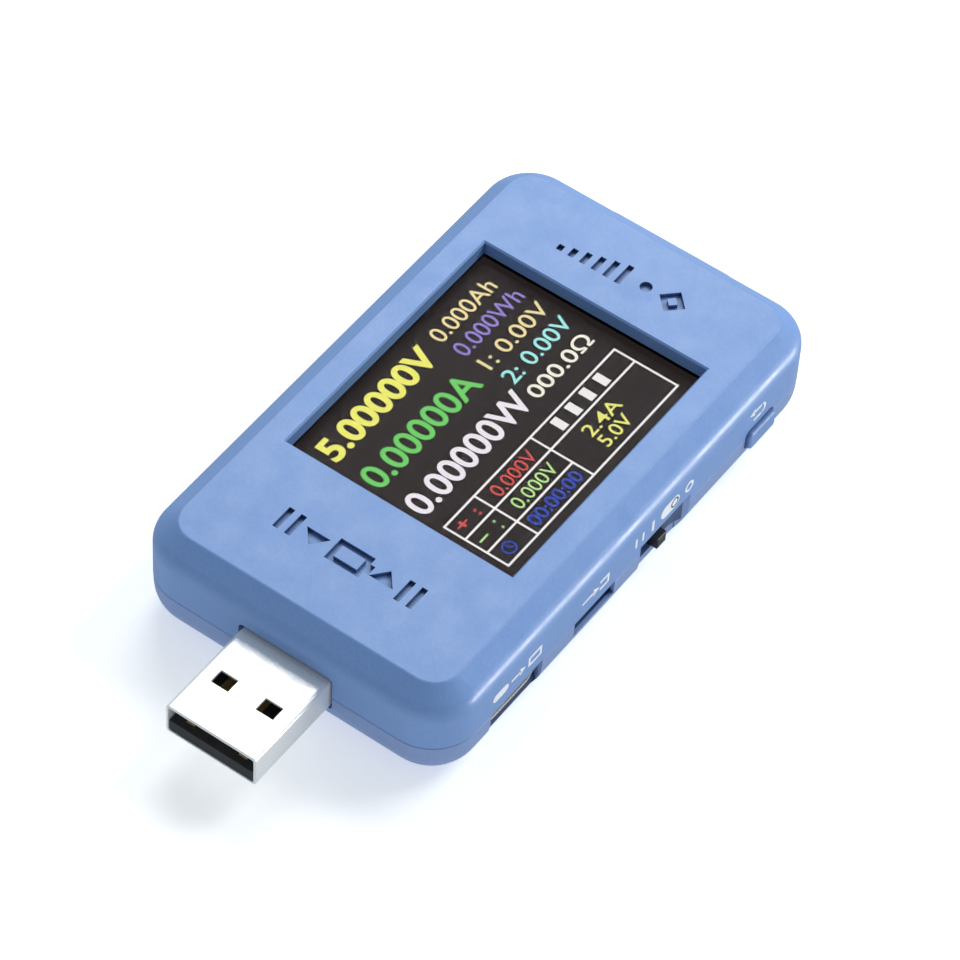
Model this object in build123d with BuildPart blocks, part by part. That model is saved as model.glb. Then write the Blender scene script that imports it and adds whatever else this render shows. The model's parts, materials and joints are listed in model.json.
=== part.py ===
"""USB power meter: a moulded housing in two shells with a plug at one end, sockets, a display and controls.

Frame: +X runs from the plug to the far socket, +Y away from the control side, +Z up through the display.
The origin is at the middle of the whole object's footprint, on the flat underside. Millimetres.
"""

import os

from build123d import *

# ---------------------------------------------------------------- driving dimensions
body_length = 71.8
body_width = 42.2
body_height = 14.2
corner_radius = 6.0
wall = 1.5
plug_reach = 12.9
collar_depth = 1.0

overall_length = plug_reach + body_length + collar_depth
front_x = plug_reach - overall_length / 2
far_x = front_x + body_length
middle_x = (front_x + far_x) / 2
side_y = body_width / 2
inner_y = side_y - wall

# outside form
part_z = 6.1
draft = 2.0
bevel_drop = 2.36
bevel_inset = 2.75
bevel_blend = 2.6
crest_blend = 0.4
foot_blend = 4.5
parting_chamfer = 0.12
collar_width = 17.6
collar_height = 8.8
collar_blend = 0.7

# inside form
floor_z = wall
ceiling_z = 12.3
shoulder_z = 10.6
shoulder_inset = 3.2
lip_inset = 0.85
lip_height = 0.9
lip_gap = 0.06
lip_break = 10.4

# display window and the marks cut in the top face
window_x = 8.45
window_length = 36.9
window_width = 30.45
window_chamfer = 0.2
mark_depth = 0.55
front_marks_x = front_x + 11.25
rear_marks_x = front_x + 62.6
stroke = 0.75
mark_size = 3.2

# display stack
lens_margin = 1.2
lens_thickness = 0.8
gasket_thickness = 0.15
gasket_width = 1.0
panel_length = 46.7
panel_width = 34.7
panel_x = window_x - 3.15
panel_thickness = 1.1
backlight_thickness = 0.9
lens_z = ceiling_z - lens_thickness
panel_z = lens_z - gasket_thickness - panel_thickness
backlight_z = panel_z - backlight_thickness
guide_thickness = 0.6
panel_ledge = 3.2
panel_left = panel_x - panel_length / 2
ribbon_thickness = 0.12
ribbon_width = 14.0
ribbon_end_x = panel_left + 5.6

# main board
board_z = 6.3
board_thickness = 1.2
board_top = board_z + board_thickness
board_inset = 2.7
lead_reach = 0.9

# fasteners
post_front_x = front_x + 5.95
post_rear_x = far_x - 5.85
post_y = 13.2
post_radius = 2.3
screw_radius = 0.95
screw_hole_radius = 1.0
clear_hole_radius = 1.2
head_radius = 1.8
head_height = 1.2
counterbore_radius = 2.1
counterbore_depth = 1.7
screw_length = 9.6

# sockets and plug
sheet = 0.3
axis_z = 6.4
plug_width = 12.0
plug_height = 4.5
plug_length = 18.75
plug_slot_gap = 0.3
plug_slot_headroom = 0.35
tongue_recess = 0.12
socket_width = 13.1
socket_height = 5.7
socket_length = 14.0
socket_recess = 0.25
socket_tongue_rise = 1.15
catch_x = 6.26
plug_end_x = front_x - plug_reach + plug_length
socket_end_x = far_x + collar_depth - socket_recess - socket_length
usb_c_width = 8.94
usb_c_height = 3.26
usb_c_length = 7.3
usb_c_z = board_z - usb_c_height / 2
micro_width = 7.5
micro_height = 2.45
micro_length = 5.6
micro_z = board_z - micro_height / 2
port_recess = 0.9
port_y = side_y - port_recess
usb_c_hole_width = 9.4
usb_c_hole_bottom = 1.6
micro_hole_width = 7.6
micro_hole_bottom = 4.05
data_x = front_x + 13.3
input_x = front_x + 13.3
micro_x = front_x + 27.8
output_x = far_x - 13.3

# push buttons
button_length = 5.1
button_height = 2.5
button_z = 5.5
button_gap = 0.2
button_proud = 0.6
button_travel = 0.3
flange_margin = 0.7
flange_rise = 0.6
flange_thickness = 0.6
back_button_x = front_x + 59.8
left_button_x = middle_x - 10.4
ok_button_x = middle_x
right_button_x = middle_x + 10.4
switch_length = 4.6
switch_depth = 2.6
switch_front_y = 18.15
plunger_width = 1.8
plunger_height = 1.2
plunger_z = 4.9
plunger_seat = 1.2
stem_reach = 0.45
plunger_tip_y = inner_y - 0.05 - flange_thickness - stem_reach
switch_bottom = 3.5

# slide switch
slide_travel = 2.0
knob_width = 1.7
knob_height = 1.6
knob_x = front_x + 41.2
knob_z = 3.6
knob_tip_y = side_y - 0.2
pocket_left = front_x + 36.4
pocket_right = front_x + 46.1
pocket_middle = (pocket_left + pocket_right) / 2
pocket_depth = 1.1
pocket_run_out = 2.8
pocket_top = 7.2
can_length = 8.6
can_depth = 4.3
can_bottom = 2.1
can_front_y = 18.3
can_x = knob_x - slide_travel / 2


# ---------------------------------------------------------------- planes and outlines
def facing(direction, x, y, z):
    """Plane at a point that looks out along direction, with its own Y axis up."""
    across = Vector(0, 0, 1).cross(Vector(direction))
    return Plane(origin=(x, y, z), x_dir=across, z_dir=direction)


def control_side(x, y, z):
    return facing((0, -1, 0), x, -y, z)


def far_side(x, y, z):
    return facing((0, 1, 0), x, y, z)


def housing_outline(inset):
    """Rounded rectangle of the housing, drawn inset from its outer wall."""
    with Locations((middle_x, 0)):
        RectangleRounded(
            body_length - 2 * inset, body_width - 2 * inset, max(corner_radius - inset, 0.5)
        )


button_places = [
    ("back", control_side, back_button_x),
    ("left", far_side, left_button_x),
    ("ok", far_side, ok_button_x),
    ("right", far_side, right_button_x),
]
usb_c_places = [
    ("data", control_side, data_x),
    ("input", far_side, input_x),
    ("output", far_side, output_x),
]
post_places = [
    (x, side * post_y) for x in (post_front_x, post_rear_x) for side in (-1, 1)
]


# ---------------------------------------------------------------- housing
with BuildPart() as housing_blank:
    with BuildSketch(Plane.XY.offset(part_z)):
        housing_outline(0)
    extrude(amount=body_height - part_z)
    crown = faces().sort_by(Axis.Z)[-1]
    chamfer(crown.edges(), length=bevel_inset, length2=bevel_drop, reference=crown)
    fillet(faces().sort_by(Axis.Z)[-1].edges(), crest_blend)
    shoulder = body_height - bevel_drop
    fillet(edges().filter_by_position(Axis.Z, shoulder - 0.01, shoulder + 0.01), bevel_blend)
    with BuildSketch(Plane.XY.offset(part_z)):
        housing_outline(0)
    extrude(amount=-part_z, taper=draft)
    fillet(faces().sort_by(Axis.Z)[0].edges(), foot_blend)
    # collar round the socket at the far end
    with BuildSketch(facing((1, 0, 0), far_x + collar_depth, 0, axis_z)):
        RectangleRounded(collar_width, collar_height, 1.2)
    extrude(amount=-(collar_depth + 1.2))
    fillet(faces().sort_by(Axis.X)[-1].edges(), collar_blend)


def cut_wall_features():
    """Openings through the walls, cut from whichever shell is being made."""
    through = wall + 1.4
    # plug slot and far socket
    with BuildSketch(facing((-1, 0, 0), front_x - 1, 0, axis_z + plug_slot_headroom / 2)) as plug_slot:
        RectangleRounded(
            plug_width + 2 * plug_slot_gap, plug_height + 2 * plug_slot_gap + plug_slot_headroom, 0.7
        )
    extrude(plug_slot.sketch, amount=-(wall + 2), mode=Mode.SUBTRACT)
    with BuildSketch(facing((1, 0, 0), far_x + collar_depth + 1, 0, axis_z)) as socket_slot:
        RectangleRounded(socket_width + 0.3, socket_height + 0.3, 0.5)
    extrude(socket_slot.sketch, amount=-(wall + collar_depth + 2), mode=Mode.SUBTRACT)
    # USB-C openings: a recess for a plug's overmould down from the parting line, then a slot for the shell
    usb_c_hole_height = part_z - usb_c_hole_bottom
    usb_c_slot_bottom = board_z - usb_c_height - 0.1
    for _, side, x in usb_c_places:
        with BuildSketch(side(x, side_y + 1, usb_c_hole_bottom + usb_c_hole_height / 2)) as mouth:
            Rectangle(usb_c_hole_width, usb_c_hole_height)
            fillet(mouth.vertices().group_by(Axis.Y)[0], 1.4)
        extrude(mouth.sketch, amount=-(1 + port_recess), mode=Mode.SUBTRACT)
        cut_relief(side, x, usb_c_hole_width, usb_c_slot_bottom, board_z + 0.2, port_recess - 0.05)
    # micro-USB opening
    micro_hole_height = part_z - micro_hole_bottom
    with BuildSketch(control_side(micro_x, side_y + 1, micro_hole_bottom + micro_hole_height / 2)) as mouth:
        Rectangle(micro_hole_width, micro_hole_height)
    extrude(mouth.sketch, amount=-through, mode=Mode.SUBTRACT)
    micro_relief_bottom = micro_z - micro_height / 2 - 0.15
    cut_relief(
        control_side, micro_x, micro_width + 0.3, micro_relief_bottom, board_z + 0.2, port_recess - 0.05
    )
    # push-button openings with room for the flange behind the wall
    half_flange = button_height / 2 + flange_rise + 0.15
    flange_space = button_length + 2 * flange_margin + 0.4
    for _, side, x in button_places:
        with BuildSketch(side(x, side_y + 1, button_z)) as opening:
            RectangleRounded(button_length + 2 * button_gap, button_height + 2 * button_gap, 0.7)
        extrude(opening.sketch, amount=-through, mode=Mode.SUBTRACT)
        cut_relief(side, x, flange_space, button_z - half_flange, button_z + half_flange, wall)
    # scooped pocket of the slide switch, open at the bottom, with a slot for the knob
    with BuildSketch(Plane.XY) as pocket:
        with BuildLine() as pocket_edge:
            scoop_start = (pocket_right - pocket_run_out, -side_y + pocket_depth)
            TangentArc(scoop_start, (pocket_right, -side_y), tangent=(1, 0))
            Polyline(
                (pocket_right, -side_y),
                (pocket_right, -side_y - 1),
                (pocket_left, -side_y - 1),
                (pocket_left, -side_y + 0.2),
                (pocket_left + 0.7, -side_y + pocket_depth),
                scoop_start,
            )
        make_face(pocket_edge.edges())
    extrude(pocket.sketch, amount=pocket_top, mode=Mode.SUBTRACT)
    with BuildSketch(control_side(can_x, side_y + 1, knob_z)) as slot:
        Rectangle(knob_width + slide_travel + 0.4, knob_height + 0.3)
    extrude(slot.sketch, amount=-(wall + 2.2), mode=Mode.SUBTRACT)


def cut_relief(side, x, width, bottom, top, wall_left):
    """Take wall away from the inside over a rectangle, leaving the given thickness of it."""
    with BuildSketch(side(x, side_y - wall_left, (bottom + top) / 2)) as relief:
        Rectangle(width, top - bottom)
    extrude(relief.sketch, amount=-3.0, mode=Mode.SUBTRACT)


with BuildPart() as top_cover:
    add(housing_blank.part)
    split(bisect_by=Plane.XY.offset(part_z), keep=Keep.TOP)
    chamfer(edges().filter_by_position(Axis.Z, part_z - 0.01, part_z + 0.01), parting_chamfer)
    # inside: a full-width space below the shoulder and a narrower one up to the ceiling
    with BuildSketch(Plane.XY.offset(part_z)):
        housing_outline(wall)
    extrude(amount=shoulder_z - part_z, mode=Mode.SUBTRACT)
    with BuildSketch(Plane.XY.offset(shoulder_z)):
        housing_outline(shoulder_inset)
    extrude(amount=ceiling_z - shoulder_z, mode=Mode.SUBTRACT)
    # rebate that takes the bottom cover's lip, left solid behind the slide switch's pocket
    with BuildSketch(Plane.XY.offset(part_z)):
        housing_outline(lip_inset - lip_gap)
        with Locations((pocket_middle, -side_y)):
            Rectangle(pocket_right - pocket_left + 0.9, 2 * wall, mode=Mode.SUBTRACT)
    extrude(amount=lip_height + 0.1, mode=Mode.SUBTRACT)
    # display window with a fine chamfer round its top edge
    with BuildSketch(Plane.XY.offset(ceiling_z)):
        with Locations((window_x, 0)):
            Rectangle(window_length, window_width)
    extrude(amount=body_height - ceiling_z, mode=Mode.SUBTRACT)
    rim = faces().filter_by(Axis.Z).sort_by(Axis.Z)[-1].inner_wires()[0]
    chamfer(rim.edges(), window_chamfer)
    # screw posts down to the board
    with BuildSketch(Plane.XY.offset(board_top)):
        with Locations(*post_places):
            Circle(post_radius)
    extrude(amount=ceiling_z - board_top)
    with BuildSketch(Plane.XY.offset(board_top)):
        with Locations(*post_places):
            Circle(screw_hole_radius)
    extrude(amount=4.3, mode=Mode.SUBTRACT)
    cut_wall_features()
    # marks near the plug: a battery outline between two arrow heads, with a pair of bars at each end
    with BuildSketch(Plane.XY.offset(body_height)):
        with Locations((front_marks_x, 0)):
            Rectangle(mark_size, 4.6)
            Rectangle(mark_size - 2 * stroke, 4.6 - 2 * stroke, mode=Mode.SUBTRACT)
        with Locations((front_marks_x, -2.6)):
            Rectangle(1.3, 0.7)
        for side in (-1, 1):
            with Locations((front_marks_x, side * 4.6)):
                Triangle(a=mark_size, b=2.5, c=2.5, rotation=90 * side)
            with Locations((front_marks_x, side * 7.3), (front_marks_x, side * 8.9)):
                Rectangle(mark_size, stroke)
    extrude(amount=-mark_depth, mode=Mode.SUBTRACT)
    # marks near the far end: a gauge of growing bars, a dot and a diamond
    with BuildSketch(Plane.XY.offset(body_height)):
        for step in range(6):
            bar = 0.9 + 0.45 * step
            with Locations((rear_marks_x - mark_size / 2 + bar / 2, 8.0 - 1.6 * step)):
                Rectangle(bar, stroke)
        with Locations((rear_marks_x, -3.0)):
            Circle(0.75)
        with Locations((rear_marks_x, -6.6)):
            Rectangle(2.5, 2.5, rotation=45)
            Rectangle(2.5 - 2 * stroke, 2.5 - 2 * stroke, rotation=45, mode=Mode.SUBTRACT)
    extrude(amount=-mark_depth, mode=Mode.SUBTRACT)


with BuildPart() as bottom_cover:
    add(housing_blank.part)
    split(bisect_by=Plane.XY.offset(part_z), keep=Keep.BOTTOM)
    chamfer(edges().filter_by_position(Axis.Z, part_z - 0.01, part_z + 0.01), parting_chamfer)
    with BuildSketch(Plane.XY.offset(part_z)):
        housing_outline(lip_inset)
    extrude(amount=lip_height)
    with BuildPart(mode=Mode.PRIVATE) as space:
        with BuildSketch(Plane.XY.offset(floor_z)):
            housing_outline(wall + 0.1)
        extrude(amount=part_z + lip_height - floor_z)
        fillet(space.faces().sort_by(Axis.Z)[0].edges(), foot_blend - wall)
    add(space.part, mode=Mode.SUBTRACT)
    # screw posts up to the board, and a rib that the slide switch's slot goes through
    with BuildSketch(Plane.XY.offset(floor_z - 0.5)):
        with Locations(*post_places):
            Circle(post_radius + 0.3)
    extrude(amount=board_z - floor_z + 0.5)
    with BuildSketch(Plane.XY.offset(floor_z)):
        with Locations((can_x, -(inner_y - 0.4))):
            Rectangle(7.0, 1.0)
    extrude(amount=part_z - floor_z)
    with BuildSketch(Plane.XY):
        with Locations(*post_places):
            Circle(clear_hole_radius)
    extrude(amount=board_z, mode=Mode.SUBTRACT)
    with BuildSketch(Plane.XY):
        with Locations(*post_places):
            Circle(counterbore_radius)
    extrude(amount=counterbore_depth, mode=Mode.SUBTRACT)
    cut_wall_features()
    # the lip is left out beside every opening
    with BuildSketch(Plane.XY.offset(part_z)):
        for _, side, x in button_places + usb_c_places + [("micro", control_side, micro_x)]:
            with Locations((x, side(x, inner_y, 0).origin.Y)):
                Rectangle(lip_break, 3)
        with Locations((pocket_middle, -inner_y)):
            Rectangle(pocket_right - pocket_left + 1, 3)
        with Locations((front_x + wall, 0), (far_x - wall, 0)):
            Rectangle(4, 15)
    extrude(amount=lip_height + 0.1, mode=Mode.SUBTRACT)


# ---------------------------------------------------------------- display
with BuildPart() as display_lens:
    with BuildSketch(Plane.XY.offset(lens_z)):
        with Locations((window_x, 0)):
            RectangleRounded(window_length + 2 * lens_margin, window_width + 2 * lens_margin, 0.6)
    extrude(amount=lens_thickness)
    chamfer(faces().sort_by(Axis.Z)[0].edges(), 0.1)

with BuildPart() as lens_gasket:
    with BuildSketch(Plane.XY.offset(lens_z - gasket_thickness)):
        with Locations((window_x, 0)):
            Rectangle(window_length + 2 * gasket_width, window_width + 2 * gasket_width)
            Rectangle(window_length + 0.4, window_width + 0.4, mode=Mode.SUBTRACT)
    extrude(amount=gasket_thickness)

with BuildPart() as lcd_panel:
    # lower glass with a bare ledge at the plug end, and the shorter upper glass on it
    with BuildSketch(Plane.XY.offset(panel_z)):
        with Locations((panel_x, 0)):
            Rectangle(panel_length, panel_width)
    extrude(amount=panel_thickness / 2)
    with BuildSketch(Plane.XY.offset(panel_z + panel_thickness / 2)):
        with Locations((panel_x + panel_ledge / 2, 0)):
            Rectangle(panel_length - panel_ledge, panel_width)
    extrude(amount=panel_thickness / 2)

with BuildPart() as lcd_backlight_frame:
    with BuildSketch(Plane.XY.offset(backlight_z)):
        with Locations((panel_x, 0)):
            RectangleRounded(panel_length, panel_width, 0.5)
    extrude(amount=backlight_thickness)
    with BuildSketch(Plane.XY.offset(panel_z)):
        with Locations((panel_x, 0)):
            Rectangle(panel_length - 2.4, panel_width - 2.4)
    extrude(amount=-guide_thickness, mode=Mode.SUBTRACT)

with BuildPart() as lcd_light_guide:
    with BuildSketch(Plane.XY.offset(panel_z - guide_thickness)):
        with Locations((panel_x, 0)):
            Rectangle(panel_length - 2.6, panel_width - 2.6)
    extrude(amount=guide_thickness)

with BuildPart() as lcd_ribbon:
    upper_z = panel_z + panel_thickness / 2 + ribbon_thickness / 2
    lower_z = board_top + 0.55
    bend_x = panel_left - 0.5
    bend_radius = (upper_z - lower_z) / 2
    with BuildSketch(Plane.XZ):
        with BuildLine():
            Line((panel_left + panel_ledge - 0.3, upper_z), (bend_x, upper_z))
            ThreePointArc(
                (bend_x, upper_z),
                (bend_x - bend_radius, (upper_z + lower_z) / 2),
                (bend_x, lower_z),
            )
            Line((bend_x, lower_z), (ribbon_end_x, lower_z))
        trace(line_width=ribbon_thickness)
    extrude(amount=ribbon_width / 2, both=True)

with BuildPart() as ribbon_connector:
    with BuildSketch(Plane.XY.offset(board_top)):
        with Locations((ribbon_end_x + 0.2, 0)):
            RectangleRounded(3.6, ribbon_width + 2.4, 0.3)
    extrude(amount=1.1)
    with BuildSketch(Plane.XY.offset(lower_z)):
        with Locations((ribbon_end_x - 1.5, 0)):
            Rectangle(3.2, ribbon_width + 0.2)
    extrude(amount=ribbon_thickness / 2 + 0.03, both=True, mode=Mode.SUBTRACT)
    # groove between the body and its flip latch
    with BuildSketch(Plane.XY.offset(board_top + 1.1)):
        with Locations((ribbon_end_x + 0.9, 0)):
            Rectangle(0.15, ribbon_width + 2.4)
    extrude(amount=-0.3, mode=Mode.SUBTRACT)

with BuildPart() as display_foam_pads:
    with BuildSketch(Plane.XY.offset(board_top)):
        with Locations((panel_x + 4, 15.3), (panel_x + 4, -15.3)):
            RectangleRounded(30, 2.6, 0.4)
    extrude(amount=backlight_z - board_top)


# ---------------------------------------------------------------- main board and what is soldered to it
with BuildPart() as main_board:
    with BuildSketch(Plane.XY.offset(board_z)):
        housing_outline(board_inset)
        with Locations(*post_places):
            Circle(1.3, mode=Mode.SUBTRACT)
        with Locations((plug_end_x - 10 + 0.2, 0)):
            Rectangle(20, plug_width + 0.6, mode=Mode.SUBTRACT)
        with Locations((socket_end_x + 10 - 0.2, 0)):
            Rectangle(20, socket_width + 0.6, mode=Mode.SUBTRACT)
    extrude(amount=board_thickness)


def on_board(under):
    """Plane on one face of the board that looks away from it."""
    return Plane.XY.offset(board_top) if not under else Plane(
        origin=(0, 0, board_z), x_dir=(1, 0, 0), z_dir=(0, 0, -1)
    )


def block(places, length, width, height, under=False, edge=0.08):
    """Small square-cornered components, one at each place, with softened top edges."""
    with BuildPart() as made:
        face = on_board(under)
        with BuildSketch(face) as feet:
            with Locations(*places):
                Rectangle(length, width)
        extrude(feet.sketch, amount=height)
        chamfer(made.faces().filter_by(Axis.Z).group_by(Axis.Z)[0 if under else -1].edges(), edge)
    return made


def leaded_chip(x, y, length, width, height, leads, pitch, under=False, four_sided=False):
    """Moulded chip with gull-wing leads on two or four sides and a dimple at pin 1."""
    with BuildPart() as made:
        face = on_board(under)
        with BuildSketch(face.offset(0.1)) as body:
            with Locations((x, y)):
                Rectangle(length, width)
        extrude(body.sketch, amount=height - 0.1)
        chamfer(made.edges().filter_by(Axis.Z), 0.15)
        with BuildSketch(face) as feet:
            with Locations((x, y)):
                with GridLocations(pitch, width + lead_reach, leads, 2):
                    Rectangle(pitch * 0.45, lead_reach)
                if four_sided:
                    with GridLocations(length + lead_reach, pitch, 2, leads):
                        Rectangle(lead_reach, pitch * 0.45)
        extrude(feet.sketch, amount=0.22)
        with BuildSketch(face.offset(0.1)) as shoulders:
            with Locations((x, y)):
                with GridLocations(pitch, width + 0.24, leads, 2):
                    Rectangle(pitch * 0.45, 0.3)
                if four_sided:
                    with GridLocations(length + 0.24, pitch, 2, leads):
                        Rectangle(0.3, pitch * 0.45)
        extrude(shoulders.sketch, amount=height * 0.5)
        with BuildSketch(face.offset(height)) as dimple:
            with Locations((x - length / 2 + 0.8, y - width / 2 + 0.8)):
                Circle(0.25)
        extrude(dimple.sketch, amount=-0.08, mode=Mode.SUBTRACT)
    return made


microcontroller = leaded_chip(4.0, 0.0, 7.0, 7.0, 1.4, 12, 0.5, four_sided=True)
measurement_converter = leaded_chip(18.0, 4.5, 4.4, 4.4, 1.1, 8, 0.5)
charge_controller = leaded_chip(-6.0, 6.5, 4.9, 3.9, 1.4, 4, 1.0)
memory_chip = leaded_chip(-6.0, -6.0, 4.9, 3.9, 1.4, 4, 1.0)
boost_regulator = leaded_chip(-8.0, 7.0, 3.0, 3.0, 1.1, 4, 0.65, under=True)
load_switches = block([(18.0, -5.5), (22.5, -5.5)], 3.3, 3.3, 0.9)
crystal = block([(10.8, 8.5)], 3.2, 2.5, 0.8, edge=0.15)
ceramic_capacitors = block(
    [(x, y) for x in (-2.0, 1.5, 5.0, 8.5) for y in (-9.5, 11.0)], 2.0, 1.25, 0.9, under=True
)
resistors = block([(x, -11.5) for x in (-3.0, 0.0, 3.0, 6.0, 9.0, 12.0)], 1.6, 0.8, 0.45)
bulk_capacitors = block([(16.0, 8.0), (16.0, 3.5)], 3.5, 2.8, 1.9, under=True, edge=0.15)

with BuildPart() as power_inductor:
    with BuildSketch(on_board(True)):
        with Locations((-1.0, 4.5)):
            RectangleRounded(5.0, 5.0, 0.9)
    extrude(amount=2.8)
    chamfer(faces().sort_by(Axis.Z)[0].edges(), 0.3)

with BuildPart() as current_shunt:
    # metal strip standing off the board on two turned-down ends
    with BuildSketch(Plane.XZ):
        with Locations((20.0, board_z - 0.75)):
            Rectangle(6.4, 1.5)
        with Locations((20.0, board_z - 0.5)):
            Rectangle(3.6, 1.0, mode=Mode.SUBTRACT)
    extrude(amount=1.6, both=True)
    fillet(edges().filter_by(Axis.Y).group_by(Axis.Z)[0], 0.3)


# ---------------------------------------------------------------- USB-A plug and socket
with BuildPart() as usb_a_plug_shell:
    plug_mouth = facing((-1, 0, 0), front_x - plug_reach, 0, axis_z)
    with BuildSketch(plug_mouth):
        RectangleRounded(plug_width, plug_height, 0.5)
    extrude(amount=-plug_length)
    fillet(faces().sort_by(Axis.X)[0].edges(), 0.12)
    with BuildSketch(plug_mouth):
        RectangleRounded(plug_width - 2 * sheet, plug_height - 2 * sheet, 0.3)
    extrude(amount=-plug_length, mode=Mode.SUBTRACT)
    # catch holes in both broad faces
    with BuildSketch(Plane.XY.offset(axis_z)):
        with Locations((front_x - plug_reach + catch_x, 0)):
            with GridLocations(0, 6.0, 1, 2):
                Rectangle(1.9, 2.35)
    extrude(amount=plug_height, both=True, mode=Mode.SUBTRACT)

tongue_top = axis_z - 0.35
plug_floor = axis_z - plug_height / 2 + sheet

with BuildPart() as usb_a_plug_tongue:
    with BuildSketch(
        facing((-1, 0, 0), front_x - plug_reach + tongue_recess, 0, (tongue_top + plug_floor) / 2)
    ) as tongue_front:
        Rectangle(plug_width - 2 * sheet - 0.1, tongue_top - plug_floor)
        chamfer(tongue_front.vertices().group_by(Axis.Y)[0], 0.3)
    extrude(amount=-(plug_length - tongue_recess))
    with BuildSketch(facing((-1, 0, 0), plug_end_x - 5.0, 0, axis_z)):
        RectangleRounded(plug_width - 2 * sheet - 0.06, plug_height - 2 * sheet - 0.06, 0.32)
    extrude(amount=-5.0)


def contact_strips(mouth, rows, width, thickness):
    """Contact strips that lie along a connector; each row is (offsets across, height, depth, length)."""
    with BuildPart() as made:
        for offsets, height, depth, length in rows:
            with BuildSketch(mouth.offset(-depth)) as ends:
                with Locations(*[(across, height) for across in offsets]):
                    Rectangle(width, thickness)
            extrude(ends.sketch, amount=-length)
    return made


# the power contacts are longer than the data contacts, so that they meet first
plug_contact_height = tongue_top - axis_z + 0.06
usb_a_plug_contacts = contact_strips(
    plug_mouth,
    [((-3.5, 3.5), plug_contact_height, 1.0, 10.2), ((-1.0, 1.0), plug_contact_height, 2.0, 9.2)],
    1.1,
    0.12,
)

with BuildPart() as usb_a_socket_shell:
    socket_mouth = facing((1, 0, 0), far_x + collar_depth - socket_recess, 0, axis_z)
    with BuildSketch(socket_mouth):
        RectangleRounded(socket_width, socket_height, 0.4)
    extrude(amount=-socket_length)
    with BuildSketch(socket_mouth):
        Rectangle(socket_width - 2 * sheet, socket_height - 2 * sheet)
    extrude(amount=-(socket_length - sheet), mode=Mode.SUBTRACT)
    # lead-in bevel and the slits that free two grip springs in each broad face
    chamfer(faces().sort_by(Axis.X)[-1].inner_wires()[0].edges(), 0.15)
    with BuildSketch(Plane.XY.offset(axis_z)):
        with Locations((socket_end_x + 7.0, 0)):
            with GridLocations(0, 6.4, 1, 2):
                Rectangle(6.0, 2.6)
                Rectangle(6.6, 2.0, mode=Mode.SUBTRACT)
    extrude(amount=socket_height, both=True, mode=Mode.SUBTRACT)

with BuildPart() as usb_a_socket_tongue:
    with BuildSketch(socket_mouth.offset(-1.2)):
        with Locations((0, socket_tongue_rise)):
            Rectangle(11.1, 1.84)
    extrude(amount=-(socket_length - sheet - 1.2))
    with BuildSketch(socket_mouth.offset(-(socket_length - sheet - 3.0))):
        Rectangle(socket_width - 2 * sheet - 0.06, socket_height - 2 * sheet - 0.06)
    extrude(amount=-3.0)
    chamfer(faces().sort_by(Axis.X)[-1].edges(), 0.25)

usb_a_socket_contacts = contact_strips(
    socket_mouth, [((-3.5, -1.0, 1.0, 3.5), socket_tongue_rise - 0.92 - 0.06, 2.4, 8.2)], 1.0, 0.12
)


# ---------------------------------------------------------------- USB-C sockets
def usb_c_shell(mouth):
    with BuildPart() as made:
        with BuildSketch(mouth) as outside:
            SlotOverall(usb_c_width, usb_c_height)
        extrude(outside.sketch, amount=-usb_c_length)
        with BuildSketch(mouth) as inside:
            SlotOverall(usb_c_width - 2 * sheet, usb_c_height - 2 * sheet)
        extrude(inside.sketch, amount=-usb_c_length, mode=Mode.SUBTRACT)
    return made


def usb_c_tongue(mouth):
    with BuildPart() as made:
        with BuildSketch(mouth.offset(-0.9)) as tongue:
            RectangleRounded(6.69, 0.7, 0.15)
        extrude(tongue.sketch, amount=-(usb_c_length - 1.5))
        with BuildSketch(mouth.offset(-(usb_c_length - 1.6))) as back:
            SlotOverall(usb_c_width - 2 * sheet - 0.06, usb_c_height - 2 * sheet - 0.06)
        extrude(back.sketch, amount=-1.6)
    return made


def usb_c_contacts(mouth):
    across = [0.5 * (i - 5.5) for i in range(12)]
    length = usb_c_length - 3.1
    return contact_strips(mouth, [(across, 0.38, 1.4, length), (across, -0.38, 1.4, length)], 0.25, 0.06)


# ---------------------------------------------------------------- micro-USB socket
def micro_profile(inset):
    """Flat-topped outline with cut lower corners, drawn inset from the outside of the shell."""
    half = micro_width / 2
    rise = micro_height / 2
    with BuildLine() as edge:
        Polyline(
            (-half, rise),
            (half, rise),
            (half, -0.1),
            (half - 0.9, -rise),
            (0.9 - half, -rise),
            (-half, -0.1),
            close=True,
        )
    make_face(edge.edges())
    if inset:
        offset(amount=-inset, kind=Kind.INTERSECTION, mode=Mode.REPLACE)


micro_mouth = control_side(micro_x, port_y, micro_z)

with BuildPart() as micro_usb_shell:
    with BuildSketch(micro_mouth):
        micro_profile(0)
    extrude(amount=-micro_length)
    with BuildSketch(micro_mouth):
        micro_profile(sheet)
    extrude(amount=-micro_length, mode=Mode.SUBTRACT)

with BuildPart() as micro_usb_tongue:
    with BuildSketch(micro_mouth.offset(-0.8)):
        with Locations((0, 0.25)):
            Rectangle(3.7, 0.6)
    extrude(amount=-(micro_length - 1.4))
    with BuildSketch(micro_mouth.offset(-(micro_length - 1.2))):
        micro_profile(sheet + 0.03)
    extrude(amount=-1.2)

micro_usb_contacts = contact_strips(
    micro_mouth, [([0.65 * i for i in range(-2, 3)], -0.08, 1.2, micro_length - 2.4)], 0.35, 0.06
)


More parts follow.
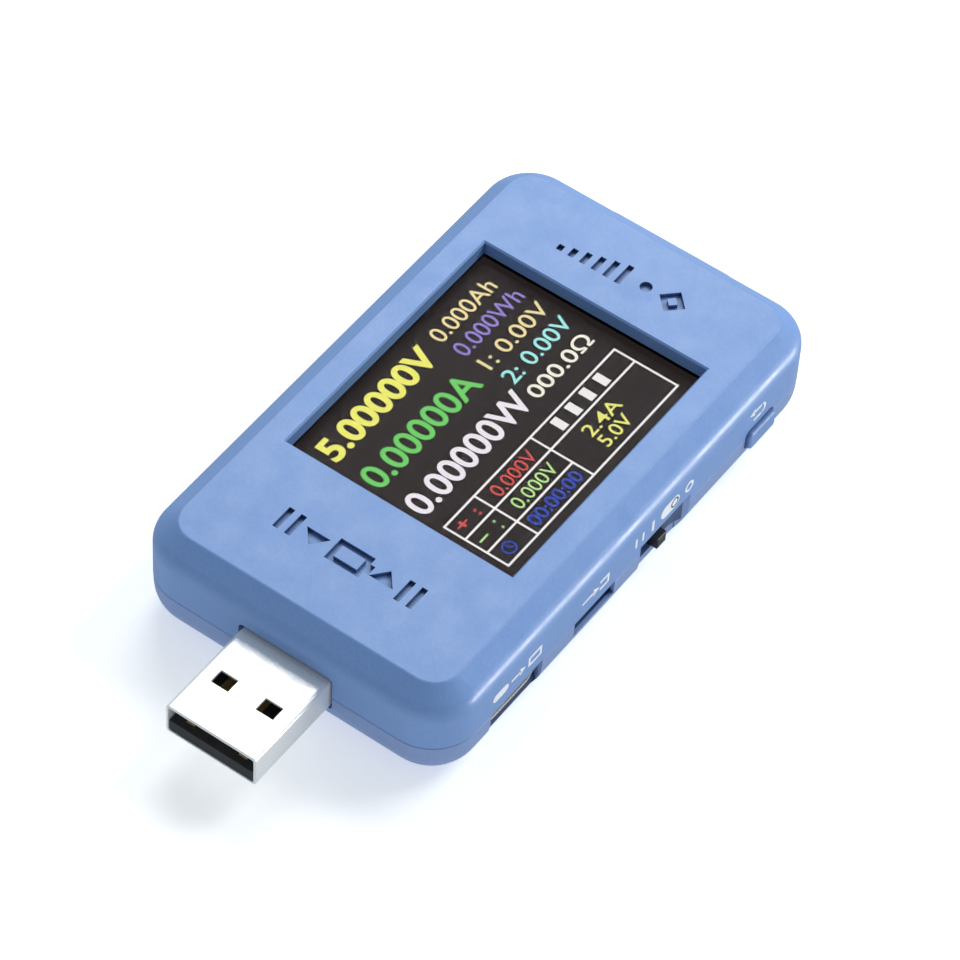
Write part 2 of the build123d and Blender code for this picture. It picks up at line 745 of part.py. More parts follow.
# ---------------------------------------------------------------- push buttons
def button_cap(side, x):
    with BuildPart() as made:
        with BuildSketch(side(x, side_y + button_proud, button_z)) as face:
            RectangleRounded(button_length, button_height, 0.5)
        extrude(face.sketch, amount=-(button_proud + wall + 0.05))
        outer = made.faces().sort_by(Axis.Y)[0 if side is control_side else -1]
        fillet(outer.edges(), 0.3)
        with BuildSketch(side(x, inner_y - 0.05, button_z)) as flange:
            RectangleRounded(button_length + 2 * flange_margin, button_height + 2 * flange_rise, 0.5)
        extrude(flange.sketch, amount=-flange_thickness)
        with BuildSketch(side(x, inner_y - 0.05 - flange_thickness, plunger_z)) as stem:
            Rectangle(2.4, 1.2)
        extrude(stem.sketch, amount=-stem_reach)
    return made


def switch_body(side, x):
    """Side-push tactile switch under the board, hollow where its plunger goes in."""
    with BuildPart() as made:
        with BuildSketch(side(x, switch_front_y, (switch_bottom + board_z) / 2)) as front:
            Rectangle(switch_length, board_z - switch_bottom)
        extrude(front.sketch, amount=-switch_depth)
        chamfer(made.edges().filter_by(Axis.Y).group_by(Axis.Z)[0], 0.3)
        with BuildSketch(side(x, switch_front_y, plunger_z)) as well:
            Rectangle(plunger_width + 0.2, plunger_height + 0.2)
        extrude(well.sketch, amount=-(plunger_seat + button_travel + 0.1), mode=Mode.SUBTRACT)
    return made


def switch_plunger(side, x):
    with BuildPart() as made:
        with BuildSketch(side(x, plunger_tip_y, plunger_z)) as tip:
            Rectangle(plunger_width, plunger_height)
        extrude(tip.sketch, amount=-(plunger_tip_y - switch_front_y + plunger_seat))
    return made


# ---------------------------------------------------------------- slide switch
can_middle_y = -(can_front_y - can_depth / 2)

with BuildPart() as slide_switch_frame:
    with BuildSketch(Plane.XY.offset(can_bottom)):
        with Locations((can_x, can_middle_y)):
            Rectangle(can_length, can_depth)
    extrude(amount=board_z - can_bottom)
    fillet(edges().filter_by(Axis.Z), 0.3)
    with BuildSketch(Plane.XY.offset(can_bottom + sheet)):
        with Locations((can_x, can_middle_y)):
            Rectangle(can_length - 2 * sheet, can_depth - 2 * sheet)
    extrude(amount=board_z - can_bottom, mode=Mode.SUBTRACT)
    with BuildSketch(control_side(can_x, can_front_y, knob_z)):
        Rectangle(knob_width + slide_travel + 0.3, knob_height + 0.3)
    extrude(amount=-2 * sheet, mode=Mode.SUBTRACT)

with BuildPart() as slide_switch_base:
    with BuildSketch(Plane.XY.offset(board_z)):
        with Locations((can_x, can_middle_y)):
            Rectangle(can_length - 2 * sheet - 0.1, can_depth - 2 * sheet - 0.1)
    extrude(amount=-1.0)

with BuildPart() as slide_switch_slider:
    with BuildSketch(control_side(knob_x, can_front_y - sheet - 0.1, knob_z + 0.1)):
        Rectangle(4.2, 2.4)
    extrude(amount=-3.0)
    with BuildSketch(control_side(knob_x, knob_tip_y, knob_z)):
        Rectangle(knob_width, knob_height)
    extrude(amount=-(knob_tip_y - can_front_y + sheet + 1.0))
    fillet(faces().sort_by(Axis.Y)[0].edges(), 0.15)


# ---------------------------------------------------------------- screws
with BuildPart() as housing_screws:
    with BuildSketch(Plane.XY.offset(counterbore_depth)):
        with Locations(*post_places):
            Circle(screw_radius)
    extrude(amount=screw_length)
    chamfer(faces().filter_by(Axis.Z).group_by(Axis.Z)[-1].edges(), 0.5)
    with BuildSketch(Plane.XY.offset(counterbore_depth)):
        with Locations(*post_places):
            Circle(head_radius)
    extrude(amount=-head_height)
    fillet(faces().filter_by(Axis.Z).group_by(Axis.Z)[0].edges(), 0.35)
    # cross recess
    with BuildSketch(Plane.XY.offset(counterbore_depth - head_height)):
        with Locations(*post_places):
            Rectangle(2.0, 0.45)
            Rectangle(0.45, 2.0)
    extrude(amount=0.7, mode=Mode.SUBTRACT)


# ---------------------------------------------------------------- write
pieces = {
    "top_cover": top_cover,
    "bottom_cover": bottom_cover,
    "housing_screws": housing_screws,
    "display_lens": display_lens,
    "lens_gasket": lens_gasket,
    "lcd_panel": lcd_panel,
    "lcd_backlight_frame": lcd_backlight_frame,
    "lcd_light_guide": lcd_light_guide,
    "lcd_ribbon": lcd_ribbon,
    "ribbon_connector": ribbon_connector,
    "display_foam_pads": display_foam_pads,
    "main_board": main_board,
    "microcontroller": microcontroller,
    "measurement_converter": measurement_converter,
    "charge_controller": charge_controller,
    "memory_chip": memory_chip,
    "boost_regulator": boost_regulator,
    "load_switches": load_switches,
    "crystal": crystal,
    "ceramic_capacitors": ceramic_capacitors,
    "bulk_capacitors": bulk_capacitors,
    "resistors": resistors,
    "power_inductor": power_inductor,
    "current_shunt": current_shunt,
    "usb_a_plug_shell": usb_a_plug_shell,
    "usb_a_plug_tongue": usb_a_plug_tongue,
    "usb_a_plug_contacts": usb_a_plug_contacts,
    "usb_a_socket_shell": usb_a_socket_shell,
    "usb_a_socket_tongue": usb_a_socket_tongue,
    "usb_a_socket_contacts": usb_a_socket_contacts,
    "micro_usb_shell": micro_usb_shell,
    "micro_usb_tongue": micro_usb_tongue,
    "micro_usb_contacts": micro_usb_contacts,
    "slide_switch_frame": slide_switch_frame,
    "slide_switch_base": slide_switch_base,
    "slide_switch_slider": slide_switch_slider,
}
for name, side, x in usb_c_places:
    mouth = side(x, port_y, usb_c_z)
    pieces[f"{name}_usb_c_shell"] = usb_c_shell(mouth)
    pieces[f"{name}_usb_c_tongue"] = usb_c_tongue(mouth)
    pieces[f"{name}_usb_c_contacts"] = usb_c_contacts(mouth)
for name, side, x in button_places:
    pieces[f"{name}_button_cap"] = button_cap(side, x)
    pieces[f"{name}_switch_body"] = switch_body(side, x)
    pieces[f"{name}_switch_plunger"] = switch_plunger(side, x)

os.makedirs("parts", exist_ok=True)
for name, piece in pieces.items():
    piece.part.label = name
    export_step(piece.part, f"parts/{name}.step")
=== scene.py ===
"""Looks of the USB power meter: materials, the lit display, printed symbols, studio and camera.

Everything is in metres, in the CAD model's own frame: +X from plug to socket, -Y the control side, +Z up.
"""

import json
import math

import bmesh
import bpy
from mathutils import Matrix, Vector


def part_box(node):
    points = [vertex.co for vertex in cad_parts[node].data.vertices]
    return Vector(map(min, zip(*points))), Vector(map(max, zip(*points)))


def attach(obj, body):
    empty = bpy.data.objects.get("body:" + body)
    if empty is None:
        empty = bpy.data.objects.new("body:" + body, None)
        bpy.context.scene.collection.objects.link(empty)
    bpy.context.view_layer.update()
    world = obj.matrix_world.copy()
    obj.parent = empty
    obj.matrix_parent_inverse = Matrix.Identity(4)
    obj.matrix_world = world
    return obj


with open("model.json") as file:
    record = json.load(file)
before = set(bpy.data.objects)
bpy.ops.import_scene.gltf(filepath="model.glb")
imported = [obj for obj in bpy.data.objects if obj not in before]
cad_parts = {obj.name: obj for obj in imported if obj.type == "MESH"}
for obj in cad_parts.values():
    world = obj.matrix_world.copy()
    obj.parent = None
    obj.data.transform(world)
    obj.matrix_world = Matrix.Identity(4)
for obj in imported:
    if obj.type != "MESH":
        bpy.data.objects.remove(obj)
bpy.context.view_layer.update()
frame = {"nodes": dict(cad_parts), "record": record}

MM = 0.001
PLATE = 0.02  # thickness of printed and lit shapes, mm
GLYPH_HALF_DEPTH = 0.001  # half depth of a character before it is scaled
MOULDED_IOR = 1.47
MOULDED_GLOSS = 0.4
LENS_IOR = 1.07
DISPLAY_GLOSS = 0.03
nodes_cad = frame["nodes"]
slot_of = {part["node"]: part["material_slot"] for part in frame["record"]["subparts"]}


# ---------------------------------------------------------------- node helpers
class Shader:
    """A new material's node tree, with short ways to add and join nodes."""

    def __init__(self, name):
        self.material = bpy.data.materials.new(name)
        self.material.use_nodes = True
        self.tree = self.material.node_tree
        self.surface = self.tree.nodes["Principled BSDF"]
        self.coords = self.tree.nodes.new("ShaderNodeTexCoord").outputs["Object"]

    def add(self, kind, inputs=None, **settings):
        node = self.tree.nodes.new("ShaderNode" + kind)
        for key, value in settings.items():
            setattr(node, key, value)
        for key, value in (inputs or {}).items():
            self.put(node.inputs[key], value)
        return node

    def put(self, socket, value):
        if isinstance(value, bpy.types.NodeSocket):
            self.tree.links.new(value, socket)
        else:
            socket.default_value = value

    def set(self, **values):
        """Sets sockets of the surface shader: base_color=..., roughness=..."""
        names = {s.name.lower().replace(" ", "_"): s for s in self.surface.inputs}
        for key, value in values.items():
            self.put(names[key], value)

    def noise(self, scale, detail=3.0, roughness=0.5, stretch=(1, 1, 1), coords=None):
        place = self.add("Mapping", {"Vector": coords or self.coords, "Scale": stretch})
        texture = self.add(
            "TexNoise",
            {"Vector": place.outputs[0], "Scale": scale, "Detail": detail, "Roughness": roughness},
        )
        return texture.outputs["Fac"]

    def ramp(self, fac, low, high, start=0.3, end=0.7):
        """Colour or grey between two values as fac goes from start to end."""
        node = self.add("ValToRGB", {"Fac": fac})
        for element, place, value in zip(node.color_ramp.elements, (start, end), (low, high)):
            element.position = place
            element.color = (*value, 1) if isinstance(value, (tuple, list)) else (value,) * 3 + (1,)
        return node.outputs["Color"]

    def mix(self, fac, first, second, blend="MIX"):
        node = self.add("Mix", data_type="RGBA", blend_type=blend)
        self.put(node.inputs[0], fac)
        for socket, value in zip((node.inputs[6], node.inputs[7]), (first, second)):
            self.put(socket, (*value, 1) if isinstance(value, tuple) and len(value) == 3 else value)
        return node.outputs[2]

    def inside(self, left, right, zones):
        """1 between left and right (x) in any of the zones, else 0.

        A zone is two limits of |y| and two of z; all are in mm.
        """
        x, y, z = self.add("SeparateXYZ", {"Vector": self.coords}).outputs
        across = self.add("Math", {0: y}, operation="ABSOLUTE").outputs[0]
        total = 0.0
        for near, far, low, high in zones:
            product = 1.0
            for value, start, end in ((across, near, far), (z, low, high), (x, left, right)):
                for limit, test in ((start, "GREATER_THAN"), (end, "LESS_THAN")):
                    passed = self.add("Math", {0: value, 1: limit * MM}, operation=test).outputs[0]
                    product = self.add("Math", {0: passed, 1: product}, operation="MULTIPLY").outputs[0]
            total = self.add("Math", {0: product, 1: total}, operation="MAXIMUM").outputs[0]
        return total

    def bump(self, height, distance, strength=1.0, normal=None):
        node = self.add("Bump", {"Height": height, "Distance": distance, "Strength": strength})
        if normal is not None:
            self.put(node.inputs["Normal"], normal)
        return node.outputs["Normal"]


def shade(colour, factor):
    return tuple(min(c * factor, 1.0) for c in colour)


def moulded(
    name, colour, roughness=0.5, grain=3200, relief=0.012,
    painted_shade_colour=None, shade_reach=(1.7, 0.22, 0.80), alone=False, painted_shade_zones=None,
):
    """Moulded plastic: spark-eroded grain, cloudy colour, painted shade in crevices and convex rims a
    little darker.

    shade_reach is how far the painted crevice shade is felt (mm), and the openness where its colour is full
    and where it ends.
    alone makes the painted shade count only the piece's own walls. painted_shade_zones bounds what has the
    painted shade colour all over.
    """
    s = Shader(name)
    cloud = s.noise(90, 4)
    fine = s.noise(grain, 2, 0.6)
    base = s.ramp(cloud, shade(colour, 0.97), shade(colour, 1.03))
    base = s.mix(0.35, base, s.ramp(fine, shade(colour, 0.9), shade(colour, 1.1), 0.35, 0.65))
    # painted shade: crevices found by ambient occlusion are darkened towards the given colour
    if painted_shade_colour:
        shade_occlusion = s.add("AmbientOcclusion", {"Distance": shade_reach[0] * MM}, samples=8, only_local=alone)
        base = s.mix(s.ramp(shade_occlusion.outputs["AO"], 1.0, 0.0, shade_reach[1], shade_reach[2]), base, painted_shade_colour)
    # painted shade: the given zones take the shade colour all over
    if painted_shade_zones:
        base = s.mix(s.inside(*painted_shade_zones), base, painted_shade_colour)
    smudge = s.noise(260, 5, 0.6)
    rubbed = s.ramp(smudge, max(roughness - 0.06, 0.02), min(roughness + 0.07, 1), 0.35, 0.65)
    # convex rims are made a little darker
    rim = s.add("NewGeometry").outputs["Pointiness"]
    base = s.mix(s.ramp(rim, 0.0, 0.5, 0.53, 0.62), base, shade(colour, 0.93))
    s.set(base_color=base, roughness=rubbed, ior=MOULDED_IOR, specular_ior_level=MOULDED_GLOSS)
    s.set(normal=s.bump(fine, relief * MM, 0.9, s.bump(s.noise(grain * 0.28, 3), relief * MM, 0.35)))
    return s.material


def metal(name, colour, roughness=0.3, stretch=(0.06, 1, 1), relief=0.004, tarnish=0.88, metallic=1.0):
    """Plated sheet metal: drawn lines along one way, soft blotches and fine scuffs."""
    s = Shader(name)
    lines = s.noise(5200, 3, 0.55, stretch)
    blotch = s.noise(320, 4, 0.6)
    scuff = s.noise(1500, 6, 0.7, (1, 0.35, 1))
    dull = s.ramp(blotch, shade(colour, tarnish), colour)
    drawn = s.ramp(lines, shade(colour, 0.93), colour)
    base = s.mix(0.5, dull, drawn)
    rubbed = s.mix(
        0.5,
        s.ramp(lines, roughness * 0.8, roughness * 1.2),
        s.ramp(scuff, roughness * 0.85, min(roughness * 1.5, 1), 0.4, 0.75),
    )
    s.set(base_color=base, metallic=metallic, roughness=rubbed)
    s.set(normal=s.bump(lines, relief * MM, 0.8))
    return s.material


def laminate(name):
    """Blue solder mask over glass weave, with a trace of copper showing as pale lines."""
    s = Shader(name)
    weave = s.add("TexWave", {"Vector": s.coords, "Scale": 1400, "Distortion": 1.5}, bands_direction="X")
    cross = s.add("TexWave", {"Vector": s.coords, "Scale": 1400, "Distortion": 1.5}, bands_direction="Y")
    cloth = s.mix(0.5, weave.outputs["Color"], cross.outputs["Color"])
    tracks = s.add(
        "TexBrick",
        {"Vector": s.coords, "Scale": 420, "Mortar Size": 0.035, "Color1": (0.006, 0.014, 0.06, 1),
         "Color2": (0.008, 0.02, 0.075, 1), "Mortar": (0.02, 0.05, 0.13, 1)},
    )
    s.set(base_color=tracks.outputs["Color"], roughness=0.28, coat_weight=0.4)
    s.set(normal=s.bump(cloth, 0.01 * MM, 0.5))
    return s.material


def foam(name):
    """Closed-cell foam with open pores on its cut faces."""
    s = Shader(name)
    cells = s.add("TexVoronoi", {"Vector": s.coords, "Scale": 5200}).outputs["Distance"]
    s.set(base_color=s.ramp(cells, (0.008,) * 3, (0.035,) * 3, 0.1, 0.6), roughness=0.95)
    s.set(normal=s.bump(cells, 0.05 * MM, 0.9))
    return s.material


def film(name, colour):
    """Amber flexible circuit with parallel conductors under the film."""
    s = Shader(name)
    wave = s.add("TexWave", {"Vector": s.coords, "Scale": 900}, bands_direction="Y").outputs["Color"]
    s.set(base_color=s.mix(wave, shade(colour, 0.75), shade(colour, 1.2)), roughness=0.25)
    s.set(normal=s.bump(wave, 0.01 * MM, 0.6))
    return s.material


def clear_sheet(name):
    """Clear window with an anti-reflection coat, which its low index stands for, and hairline scratches."""
    s = Shader(name)
    hairline = s.noise(900, 6, 0.7, (0.08, 1, 1))
    smear = s.noise(60, 5, 0.65)
    s.set(base_color=(0.96, 0.96, 0.97, 1), transmission_weight=1.0, ior=LENS_IOR)
    s.set(roughness=s.ramp(smear, 0.01, 0.06, 0.4, 0.8))
    s.set(normal=s.bump(hairline, 0.001 * MM, 0.15))
    return s.material


def lcd(name):
    """Unlit ground of the display: a faint warm glow broken up by the rows and columns of pixels."""
    s = Shader(name)
    pixels = s.add(
        "TexBrick",
        {"Vector": s.coords, "Scale": 1000, "Brick Width": 0.13, "Row Height": 0.13, "Mortar Size": 0.012,
         "Color1": (0.0186, 0.0133, 0.0126, 1), "Color2": (0.0176, 0.0125, 0.0120, 1),
         "Mortar": (0.0150, 0.0108, 0.0105, 1)},
        offset=0.0,
    ).outputs["Color"]
    mottle = s.mix(0.5, pixels, s.mix(s.noise(1800, 2), (0.014, 0.0105, 0.01), (0.022, 0.0155, 0.015)))
    s.set(base_color=(0.006, 0.005, 0.005, 1), roughness=0.5, specular_ior_level=DISPLAY_GLOSS)
    s.set(emission_color=mottle, emission_strength=1.0)
    s.set(normal=s.bump(pixels, 0.001 * MM, 0.05))
    return s.material


def lit(name, colour, halo=0.86):
    """Lit characters of the display, with the mottle of the pixels in them."""
    s = Shader(name)
    glow = s.mix(s.noise(1500, 2), shade(colour, halo), colour)
    s.set(base_color=(0.02, 0.02, 0.02, 1), roughness=0.5, specular_ior_level=DISPLAY_GLOSS)
    s.set(emission_color=glow, emission_strength=1.0)
    return s.material


def ink(name, colour):
    """Pad-printed ink: slightly uneven cover and soft gloss."""
    s = Shader(name)
    cover = s.noise(2600, 4, 0.65)
    s.set(base_color=s.ramp(cover, shade(colour, 0.86), colour, 0.3, 0.6))
    s.set(roughness=s.ramp(cover, 0.35, 0.5), normal=s.bump(cover, 0.004 * MM, 0.7))
    return s.material


BODY_BLUE = (0.190, 0.325, 0.640)
LOWER_BLUE = (0.225, 0.325, 0.585)
# colour of the painted shade in crevices, recesses and pockets
PAINTED_SHADE_NAVY = (0.012, 0.035, 0.115)

finishes = {
    # the housing and the buttons carry painted shade in their crevices
    "housing_plastic": moulded(
        "housing_blue", BODY_BLUE, 0.36, painted_shade_colour=PAINTED_SHADE_NAVY, shade_reach=(1.7, 0.20, 0.70), alone=True
    ),
    "button_plastic": moulded("button_blue", shade(BODY_BLUE, 0.92), 0.34, painted_shade_colour=PAINTED_SHADE_NAVY),
    "port_steel": metal(
        "port_nickel", (0.90, 0.90, 0.90), 0.28, (1, 0.06, 1), relief=0.002, tarnish=0.96, metallic=0.6
    ),
    "plug_steel": metal("plug_nickel", (0.97, 0.97, 0.97), 0.32, relief=0.002, tarnish=0.97, metallic=0.35),
    "black_plastic": moulded("black_nylon", (0.022, 0.022, 0.024), 0.38, 4200, 0.006),
    "white_plastic": moulded("white_acetal", (0.78, 0.78, 0.75), 0.35, 4200, 0.006),
    "gold_contact": metal("gold_plate", (0.95, 0.70, 0.34), 0.22, relief=0.002),
    "clear_lens": clear_sheet("clear_acrylic"),
    "display_glass": lcd("display_ground"),
    "ribbon_film": film("amber_film", (0.42, 0.17, 0.03)),
    "foam": foam("black_foam"),
    "circuit_board": laminate("blue_laminate"),
    "screw_steel": metal("black_zinc", (0.20, 0.20, 0.21), 0.38, (1, 1, 0.1)),
    "chip_epoxy": moulded("chip_epoxy", (0.028, 0.028, 0.030), 0.55, 6000, 0.008),
    "can_metal": metal("plated_can", (0.82, 0.80, 0.74), 0.2),
    "ceramic": moulded("fired_ceramic", (0.36, 0.25, 0.16), 0.45, 7000, 0.005),
    "ferrite": moulded("ferrite", (0.055, 0.055, 0.06), 0.6, 3800, 0.02),
    "shunt_alloy": metal("shunt_alloy", (0.62, 0.47, 0.38), 0.3),
}
# painted shade over the pocket walls round the sockets and the switch, and over the recessed faces under
# the socket shells
pocket_walls = (-1.0, 20.6, 3.0, 9.0)
recessed_faces = (20.17, 20.23, 2.0, 3.1)
lower_plastic = moulded(
    "lower_blue", LOWER_BLUE, 0.42, painted_shade_colour=PAINTED_SHADE_NAVY, shade_reach=(2.0, 0.45, 0.92), alone=True,
    painted_shade_zones=(-23.5, 35.5, (pocket_walls, recessed_faces)),
)


def dress(node, material):
    """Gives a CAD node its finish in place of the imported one."""
    mesh = nodes_cad[node].data
    mesh.materials.clear()
    mesh.materials.append(material)


for node in nodes_cad:
    dress(node, finishes[slot_of[node]])
dress("bottom_cover", lower_plastic)


# ---------------------------------------------------------------- flat printed or lit shapes
def new_piece(name, mesh, material):
    """Adds a mesh to the scene as a piece that rides on the housing."""
    piece = bpy.data.objects.new(name, mesh)
    bpy.context.scene.collection.objects.link(piece)
    mesh.materials.clear()
    mesh.materials.append(material)
    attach(piece, "housing")


def glyphs(text, weight):
    """Outline of a line of characters at size 1, as a filled thin mesh."""
    curve = bpy.data.curves.new("line", "FONT")
    curve.body = text
    curve.offset = weight
    curve.extrude = GLYPH_HALF_DEPTH
    carrier = bpy.data.objects.new("line", curve)
    bpy.context.scene.collection.objects.link(carrier)
    bpy.context.view_layer.update()
    mesh = bpy.data.meshes.new_from_object(carrier.evaluated_get(bpy.context.evaluated_depsgraph_get()))
    bpy.data.objects.remove(carrier)
    bpy.data.curves.remove(curve)
    return mesh


def add_text(bm, text, left, right, base, cap, weight):
    """Adds a line of characters that fills left..right, standing on base with capitals cap high (mm)."""
    mesh = glyphs(text, weight)
    across = [v.co.x for v in mesh.vertices]
    up = [v.co.y for v in mesh.vertices]
    low, high = min(up), max(up)
    scale_x = (right - left) / (max(across) - min(across))
    scale_y = cap / (high - low)
    scale_z = PLATE / (2 * GLYPH_HALF_DEPTH)
    start = len(bm.verts)
    bm.from_mesh(mesh)
    bm.verts.ensure_lookup_table()
    for vertex in bm.verts[start:]:
        x, y, z = vertex.co
        vertex.co = Vector((left + (x - min(across)) * scale_x, base + (y - low) * scale_y, z * scale_z))
    bpy.data.meshes.remove(mesh)


def add_polygon(bm, points):
    """Adds a flat plate with the given outline (mm)."""
    face = bm.faces.new([bm.verts.new((x, y, 0)) for x, y in points])
    if face.normal.z < 0:
        face.normal_flip()
    made = bmesh.ops.extrude_face_region(bm, geom=[face])
    for element in made["geom"]:
        if isinstance(element, bmesh.types.BMVert):
            element.co.z += PLATE


def add_bar(bm, x0, y0, x1, y1, width):
    """Adds a straight stroke from one point to the other."""
    along = Vector((x1 - x0, y1 - y0)).normalized() * width / 2
    side = Vector((-along.y, along.x))
    a, b = Vector((x0, y0)) - along, Vector((x1, y1)) + along
    add_polygon(bm, [a - side, b - side, b + side, a + side])


def add_ring(bm, x, y, radius, width, start=0.0, sweep=360.0, steps=40):
    """Adds an arc or a whole ring of even width."""
    angles = [math.radians(start + sweep * i / steps) for i in range(steps + 1)]
    for first, second in zip(angles, angles[1:]):
        inner, outer = radius - width / 2, radius + width / 2
        add_polygon(bm, [
            (x + outer * math.cos(first), y + outer * math.sin(first)),
            (x + outer * math.cos(second), y + outer * math.sin(second)),
            (x + inner * math.cos(second), y + inner * math.sin(second)),
            (x + inner * math.cos(first), y + inner * math.sin(first)),
        ])


def add_pill(bm, x0, y0, x1, y1, steps=14):
    """Adds a filled bar with round ends."""
    radius = (y1 - y0) / 2
    middle = (y0 + y1) / 2
    points = []
    for centre, start in ((x1 - radius, -90), (x0 + radius, 90)):
        for i in range(steps + 1):
            angle = math.radians(start + 180 * i / steps)
            points.append((centre + radius * math.cos(angle), middle + radius * math.sin(angle)))
    add_polygon(bm, points)


def finish_plate(bm, name, material, to_frame):
    """Turns the plate drawn in mm into a piece placed by to_frame, in metres."""
    bmesh.ops.recalc_face_normals(bm, faces=bm.faces)
    mesh = bpy.data.meshes.new(name)
    bm.to_mesh(mesh)
    bm.free()
    mesh.transform(to_frame @ Matrix.Scale(MM, 4))
    new_piece(name, mesh, material)


# ---------------------------------------------------------------- display read-out
panel_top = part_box("lcd_panel")[1].z
on_screen = Matrix.Translation((0, 0, panel_top + PLATE * MM))

readings = [
    # name, colour, lines of (text, left, right, base, cap height, weight)
    ("volts", (0.92, 0.90, 0.16), [("5.00000V", -7.3, 11.9, 10.15, 3.45, 0.030)]),
    ("amps", (0.16, 0.66, 0.13), [("0.00000A", -7.45, 11.75, 4.1, 3.45, 0.016)]),
    ("watts", (0.92, 0.86, 0.92), [("0.00000W", -7.45, 13.15, -1.95, 3.45, 0.018)]),
    ("amp_hours", (0.90, 0.76, 0.36), [("0.000Ah", 13.7, 24.4, 11.35, 2.2, 0.004),
                                       ("1: 0.00V", 13.9, 25.4, 4.75, 2.15, 0.004)]),
    ("watt_hours", (0.30, 0.22, 0.66), [("0.000Wh", 13.7, 25.1, 8.05, 2.2, 0.004)]),
    ("line_two", (0.38, 0.86, 0.84), [("2: 0.00V", 13.8, 25.3, 1.45, 2.15, 0.006)]),
    ("ohms", (0.95, 0.92, 0.78), [("000.0Ω", 13.7, 24.6, -1.9, 2.15, 0.010)]),
    ("red_row", (0.70, 0.08, 0.07), [("+ :", -6.6, -3.1, -6.4, 1.3, 0.01),
                                     ("0.000V", -0.2, 7.1, -6.7, 1.75, 0.0)]),
    ("green_row", (0.50, 0.78, 0.28), [("0.000V", -0.2, 7.1, -9.5, 1.75, 0.0)]),
    ("blue_row", (0.025, 0.06, 0.48), [("00:00:00", -1.0, 7.9, -12.3, 1.75, 0.012)]),
    ("mode", (0.86, 0.84, 0.20), [("2.4A", 12.9, 18.9, -9.75, 1.75, 0.006),
                                  ("5.0V", 12.9, 17.9, -11.95, 1.75, 0.006)]),
]
for name, colour, lines in readings:
    drawing = bmesh.new()
    for text, left, right, base, cap, weight in lines:
        add_text(drawing, text, left, right, base, cap, weight)
    if name == "green_row":
        # a minus sign and a colon
        add_bar(drawing, -6.5, -8.6, -5.3, -8.6, 0.24)
        for height in (-8.1, -9.3):
            add_bar(drawing, -3.35, height, -3.3, height, 0.26)
    if name == "blue_row":
        # a clock
        add_ring(drawing, -5.2, -11.5, 0.8, 0.2)
        add_bar(drawing, -5.2, -11.5, -5.2, -11.05, 0.18)
        add_bar(drawing, -5.2, -11.5, -4.8, -11.7, 0.18)
    finish_plate(drawing, "reading_" + name, lit("lit_" + name, colour), on_screen)

# the table's frame and rules, with four plain blocks as its heading
grid = bmesh.new()
rule = 0.26
left, divide_a, divide_b, right = -7.3, -1.8, 8.7, 24.9
top, row_a, row_b, bottom = -4.3, -7.1, -10.05, -12.9
for height, end in ((top, right), (row_a, right), (row_b, divide_b), (bottom, right)):
    add_bar(grid, left, height, end, height, rule)
for place in (left, divide_a, divide_b, right):
    add_bar(grid, place, bottom, place, top, rule)
for place in (12.3, 15.0, 17.7, 20.4):
    add_bar(grid, place, -6.1, place, -5.3, 1.1)
finish_plate(grid, "reading_table", lit("lit_table", (0.93, 0.90, 0.88)), on_screen)


# ---------------------------------------------------------------- printed symbols on the control side
wall_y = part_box("top_cover")[0].y
on_wall = Matrix.Translation((0, wall_y + 0.005 * MM, 0)) @ Matrix.Rotation(math.radians(90), 4, "X")
symbols = bmesh.new()
line = 0.34
# a socket, an arrow and a screen, above the data socket
add_pill(symbols, -21.2, 7.9, -18.4, 9.1)
add_bar(symbols, -17.7, 8.5, -16.3, 8.5, line)
add_polygon(symbols, [(-16.3, 7.9), (-15.3, 8.5), (-16.3, 9.1)])
for height in (7.95, 9.15):
    add_bar(symbols, -14.6, height, -12.5, height, line)
for place in (-14.6, -12.5):
    add_bar(symbols, place, 7.95 + line, place, 9.15 - line, line)
# an arrow into a bracket, above the small socket
add_bar(symbols, -4.6, 8.4, -2.7, 8.4, line)
add_polygon(symbols, [(-2.7, 7.75), (-1.6, 8.4), (-2.7, 9.05)])
for height in (7.8, 9.0):
    add_bar(symbols, -1.3, height, 0.1, height, line)
add_bar(symbols, 0.1, 7.8 + line, 0.1, 9.0 - line, line)
# two strokes, the stroke of on, a pill with a knob and the ring of off, above the slide switch
for place in (5.4, 6.7):
    add_bar(symbols, place, 8.4, place, 9.5, line)
add_bar(symbols, 8.6, 8.3, 8.6, 9.6, line * 1.3)
add_pill(symbols, 10.1, 8.05, 13.7, 9.95)
add_ring(symbols, 15.6, 9.0, 0.65, line)
# return arrow above the back button
add_ring(symbols, 29.9, 8.85, 0.7, line, -90, 180, 18)
add_bar(symbols, 29.9, 8.15, 28.6, 8.15, line)
add_bar(symbols, 29.9, 9.55, 28.5, 9.55, line)
add_polygon(symbols, [(28.5, 8.95), (28.5, 10.15), (27.5, 9.55)])
finish_plate(symbols, "printed_symbols", ink("white_ink", (0.90, 0.92, 0.95)), on_wall)
# outline of the pill's knob, printed over the pill
ring = bmesh.new()
add_ring(ring, 12.75, 9.0, 0.62, 0.2)
above_ink = on_wall @ Matrix.Translation((0, 0, PLATE * MM))
finish_plate(ring, "printed_switch_ring", ink("navy_ink", (0.03, 0.06, 0.16)), above_ink)


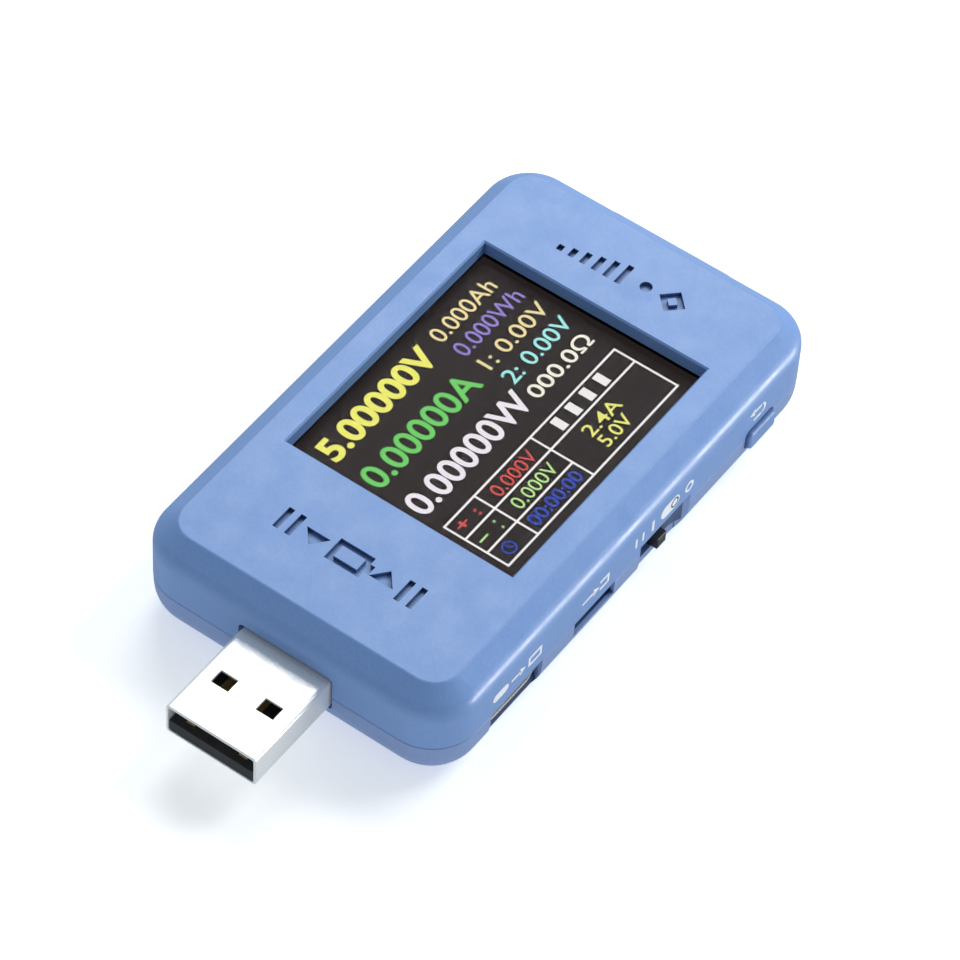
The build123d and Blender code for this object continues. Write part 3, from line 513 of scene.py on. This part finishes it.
# ---------------------------------------------------------------- studio
def studio_floor():
    """Pale paper just under the object, glowing a little; it blocks no light and isn't mirrored."""
    size = 3.0
    drop = 0.02 * MM
    mesh = bpy.data.meshes.new("floor")
    corners = [(x * size, y * size, -drop) for x, y in ((-1, -1), (1, -1), (1, 1), (-1, 1))]
    mesh.from_pydata(corners, [], [(0, 1, 2, 3)])
    floor = bpy.data.objects.new("floor", mesh)
    bpy.context.scene.collection.objects.link(floor)
    s = Shader("paper")
    paper = s.ramp(s.noise(6, 2), (0.93, 0.93, 0.93), (0.95, 0.95, 0.95))
    s.set(base_color=paper, roughness=0.9, specular_ior_level=0.0)
    s.set(emission_color=(1.0, 1.0, 1.0, 1), emission_strength=0.42)
    mesh.materials.append(s.material)
    floor.visible_glossy = False
    floor.visible_shadow = False


def soft_light(name, place, aim, width, height, power):
    """Oval softbox at place, turned towards aim."""
    lamp = bpy.data.lights.new(name, "AREA")
    lamp.shape = "ELLIPSE"
    lamp.size = width
    lamp.size_y = height
    lamp.energy = power
    holder = bpy.data.objects.new(name, lamp)
    holder.location = place
    holder.rotation_euler = (Vector(aim) - Vector(place)).to_track_quat("-Z", "Y").to_euler()
    bpy.context.scene.collection.objects.link(holder)
    return holder


studio_floor()
soft_light("key", (0.44, -0.23, 0.43), (0, 0, 0), 0.35, 0.35, 2.2)
soft_light("back", (0.31, 0.19, 0.40), (0, 0, 0), 0.31, 0.31, 1.15)
# seen only as a highlight along the edge of the control side
strip = soft_light("side_strip", (0.34, -0.50, -0.036), (0, 0, 0.01), 0.45, 0.06, 4.2)
strip.visible_diffuse = False

world = bpy.data.worlds.new("studio")
world.use_nodes = True
backdrop = world.node_tree.nodes["Background"]
backdrop.inputs["Color"].default_value = (0.80, 0.92, 1.0, 1)
backdrop.inputs["Strength"].default_value = 0.42
bpy.context.scene.world = world
bpy.context.scene.view_settings.view_transform = "Standard"


# ---------------------------------------------------------------- camera
def place_camera(place, azimuth, elevation, roll, lens):
    """Camera at place, looking down by elevation towards azimuth (degrees from +Y to +X)."""
    a, e, r = (math.radians(v) for v in (azimuth, elevation, roll))
    forward = Vector((math.sin(a) * math.cos(e), math.cos(a) * math.cos(e), -math.sin(e)))
    level = forward.cross(Vector((0, 0, 1))).normalized()
    up = level.cross(forward)
    right = level * math.cos(r) + up * math.sin(r)
    up = right.cross(forward)
    camera_data = bpy.data.cameras.new("camera")
    camera_data.lens = lens
    camera_data.sensor_width = 36.0
    camera_data.clip_start = 0.01
    camera = bpy.data.objects.new("camera", camera_data)
    camera.matrix_world = Matrix.Translation(place) @ Matrix((right, up, -forward)).transposed().to_4x4()
    bpy.context.scene.collection.objects.link(camera)
    bpy.context.scene.camera = camera


# solved from the straight edges of the plug and housing in the photograph
place_camera((-0.28201, -0.18650, 0.42574), azimuth=57.0568, elevation=50.9119, roll=3.9375, lens=183.234)
